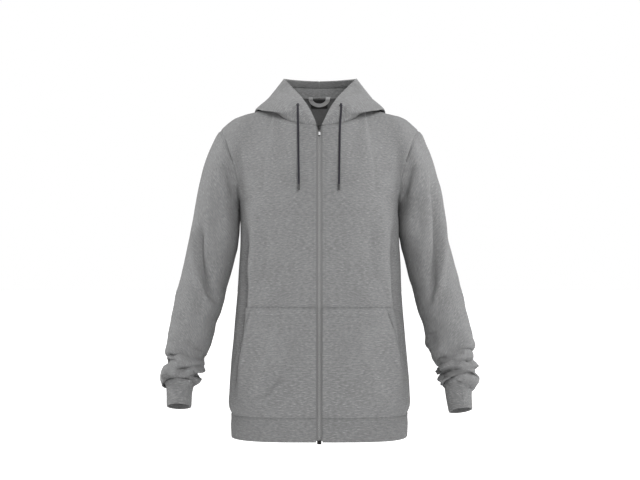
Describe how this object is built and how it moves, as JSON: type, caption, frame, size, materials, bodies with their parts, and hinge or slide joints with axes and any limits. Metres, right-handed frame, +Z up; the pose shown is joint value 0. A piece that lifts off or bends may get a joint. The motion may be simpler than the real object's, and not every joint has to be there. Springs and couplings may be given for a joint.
{
  "type": "hooded zip sweatshirt",
  "caption": "Hooded sweatshirt in grey heather jersey with a full front zip, kangaroo pocket, drawcord, ribbed cuffs and hem, filled out as worn and hollow.",
  "frame": {"origin": "centre of the neck opening, level with the tops of the shoulders, where the wearer carries the garment", "axes": "+Z up, the front faces -Y, +X is the wearer's left"},
  "size_m": [0.6627, 0.308, 0.7701],
  "materials": {
    "heather_jersey": "matt heather jersey with small pale flecks",
    "heather_rib": "matt heather rib",
    "zip_tape_cloth": "woven tape with moulded teeth",
    "dark_nickel": "dark nickel",
    "navy_cord": "braided cord, navy black",
    "black_label": "plain woven label",
    "loop_tape": "herringbone tape"
  },
  "bodies": {
    "garment": {"front_left": "heather_jersey", "front_right": "heather_jersey", "back": "heather_jersey", "sleeve_left": "heather_jersey", "sleeve_right": "heather_jersey", "hood_left": "heather_jersey", "hood_right": "heather_jersey", "pocket_left": "heather_jersey", "pocket_right": "heather_jersey", "hem_band": "heather_rib", "cuff_left": "heather_rib", "cuff_right": "heather_rib", "zip_tape_left": "zip_tape_cloth", "zip_tape_right": "zip_tape_cloth", "zip_slider": "dark_nickel", "zip_box": "dark_nickel", "eyelet_left": "dark_nickel", "eyelet_right": "dark_nickel", "drawcord_left": "navy_cord", "drawcord_right": "navy_cord", "neck_label": "black_label", "hanger_loop": "loop_tape"},
    "pull_tab": {"zip_pull": "dark_nickel"}
  },
  "joints": [
    {"name": "pull_tab_hinge", "type": "hinge", "parent": "garment", "child": "pull_tab", "pos_m": [0, -0.09834, -0.06757], "axis": [-1, 0, 0], "range_deg": [0, 150]}
  ]
}
